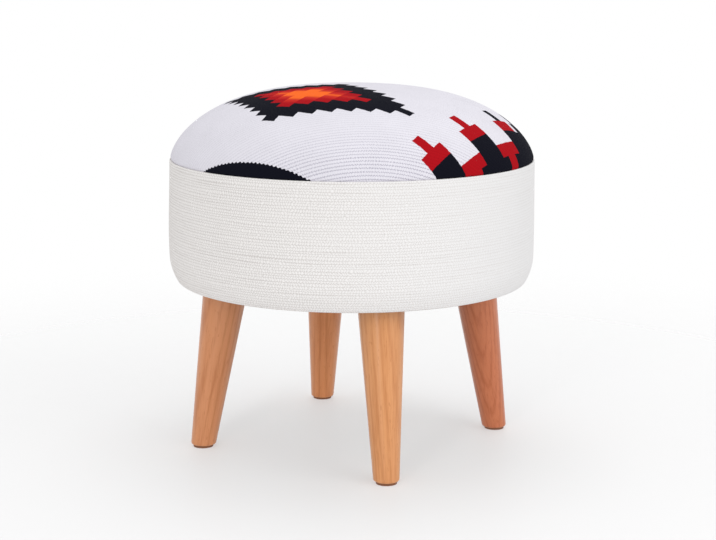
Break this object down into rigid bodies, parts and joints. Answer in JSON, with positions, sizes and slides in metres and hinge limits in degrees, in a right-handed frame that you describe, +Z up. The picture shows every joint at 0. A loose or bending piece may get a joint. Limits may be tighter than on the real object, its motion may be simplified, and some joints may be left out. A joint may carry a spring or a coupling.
{
  "type": "pouf",
  "caption": "Round upholstered pouf: a padded drum with a domed woven seat on splayed, tapered wooden legs that screw off.",
  "frame": {"origin": "on the floor, under the middle of the drum", "axes": "+Z up along the drum's axis; the legs stand on the axes, the front one towards -Y"},
  "size_m": [0.38, 0.38, 0.3787],
  "materials": {
    "kilim_cloth": "flat woven wool",
    "band_cloth": "coarse slub weave",
    "wadding": "soft fibre",
    "foam": "open foam",
    "wall_board": "hardboard",
    "plywood": "raw plywood",
    "post_wood": "raw softwood",
    "leg_wood": "satin stained",
    "zinc_steel": "zinc plated",
    "glide_plastic": "matte",
    "dust_cloth": "spun cloth"
  },
  "bodies": {
    "seat": {"top_cover": "kilim_cloth", "top_wadding": "wadding", "seat_foam": "foam", "side_band": "band_cloth", "side_padding": "wadding", "drum_wall": "wall_board", "seat_deck": "plywood", "base_board": "plywood", "deck_screws": "zinc_steel", "base_screws": "zinc_steel", "wall_staples_upper": "zinc_steel", "wall_staples_lower": "zinc_steel", "hem_staples": "zinc_steel", "dust_cover": "dust_cloth", "dust_staples": "zinc_steel", "post_front_right": "post_wood", "post_back_right": "post_wood", "post_back_left": "post_wood", "post_front_left": "post_wood", "tee_nut_front": "zinc_steel", "tee_nut_right": "zinc_steel", "tee_nut_back": "zinc_steel", "tee_nut_left": "zinc_steel"},
    "washer_front": {"washer_front": "zinc_steel"},
    "leg_front": {"leg_front": "leg_wood", "hanger_bolt_front": "zinc_steel", "glide_pad_front": "glide_plastic", "glide_nail_front": "zinc_steel"},
    "washer_right": {"washer_right": "zinc_steel"},
    "leg_right": {"leg_right": "leg_wood", "hanger_bolt_right": "zinc_steel", "glide_pad_right": "glide_plastic", "glide_nail_right": "zinc_steel"},
    "washer_back": {"washer_back": "zinc_steel"},
    "leg_back": {"leg_back": "leg_wood", "hanger_bolt_back": "zinc_steel", "glide_pad_back": "glide_plastic", "glide_nail_back": "zinc_steel"},
    "washer_left": {"washer_left": "zinc_steel"},
    "leg_left": {"leg_left": "leg_wood", "hanger_bolt_left": "zinc_steel", "glide_pad_left": "glide_plastic", "glide_nail_left": "zinc_steel"}
  },
  "joints": [
    {"name": "leg_front_drop", "type": "slide", "parent": "seat", "child": "washer_front", "axis": [0, 0, -1], "range_m": [0, 0.0126]},
    {"name": "leg_front_unscrew", "type": "hinge", "parent": "washer_front", "child": "leg_front", "pos_m": [0, -0.134, 0.1755], "axis": [0, 0, -1], "range_deg": [0, 3600]},
    {"name": "leg_right_drop", "type": "slide", "parent": "seat", "child": "washer_right", "axis": [0, 0, -1], "range_m": [0, 0.0126]},
    {"name": "leg_right_unscrew", "type": "hinge", "parent": "washer_right", "child": "leg_right", "pos_m": [0.134, 0, 0.1755], "axis": [0, 0, -1], "range_deg": [0, 3600]},
    {"name": "leg_back_drop", "type": "slide", "parent": "seat", "child": "washer_back", "axis": [0, 0, -1], "range_m": [0, 0.0126]},
    {"name": "leg_back_unscrew", "type": "hinge", "parent": "washer_back", "child": "leg_back", "pos_m": [0, 0.134, 0.1755], "axis": [0, 0, -1], "range_deg": [0, 3600]},
    {"name": "leg_left_drop", "type": "slide", "parent": "seat", "child": "washer_left", "axis": [0, 0, -1], "range_m": [0, 0.0126]},
    {"name": "leg_left_unscrew", "type": "hinge", "parent": "washer_left", "child": "leg_left", "pos_m": [-0.134, 0, 0.1755], "axis": [0, 0, -1], "range_deg": [0, 3600]}
  ],
  "couplings": [
    {"joint": "leg_front_drop", "follows": "leg_front_unscrew", "m_per_rad": 0.00019894},
    {"joint": "leg_right_drop", "follows": "leg_right_unscrew", "m_per_rad": 0.00019894},
    {"joint": "leg_back_drop", "follows": "leg_back_unscrew", "m_per_rad": 0.00019894},
    {"joint": "leg_left_drop", "follows": "leg_left_unscrew", "m_per_rad": 0.00019894}
  ]
}
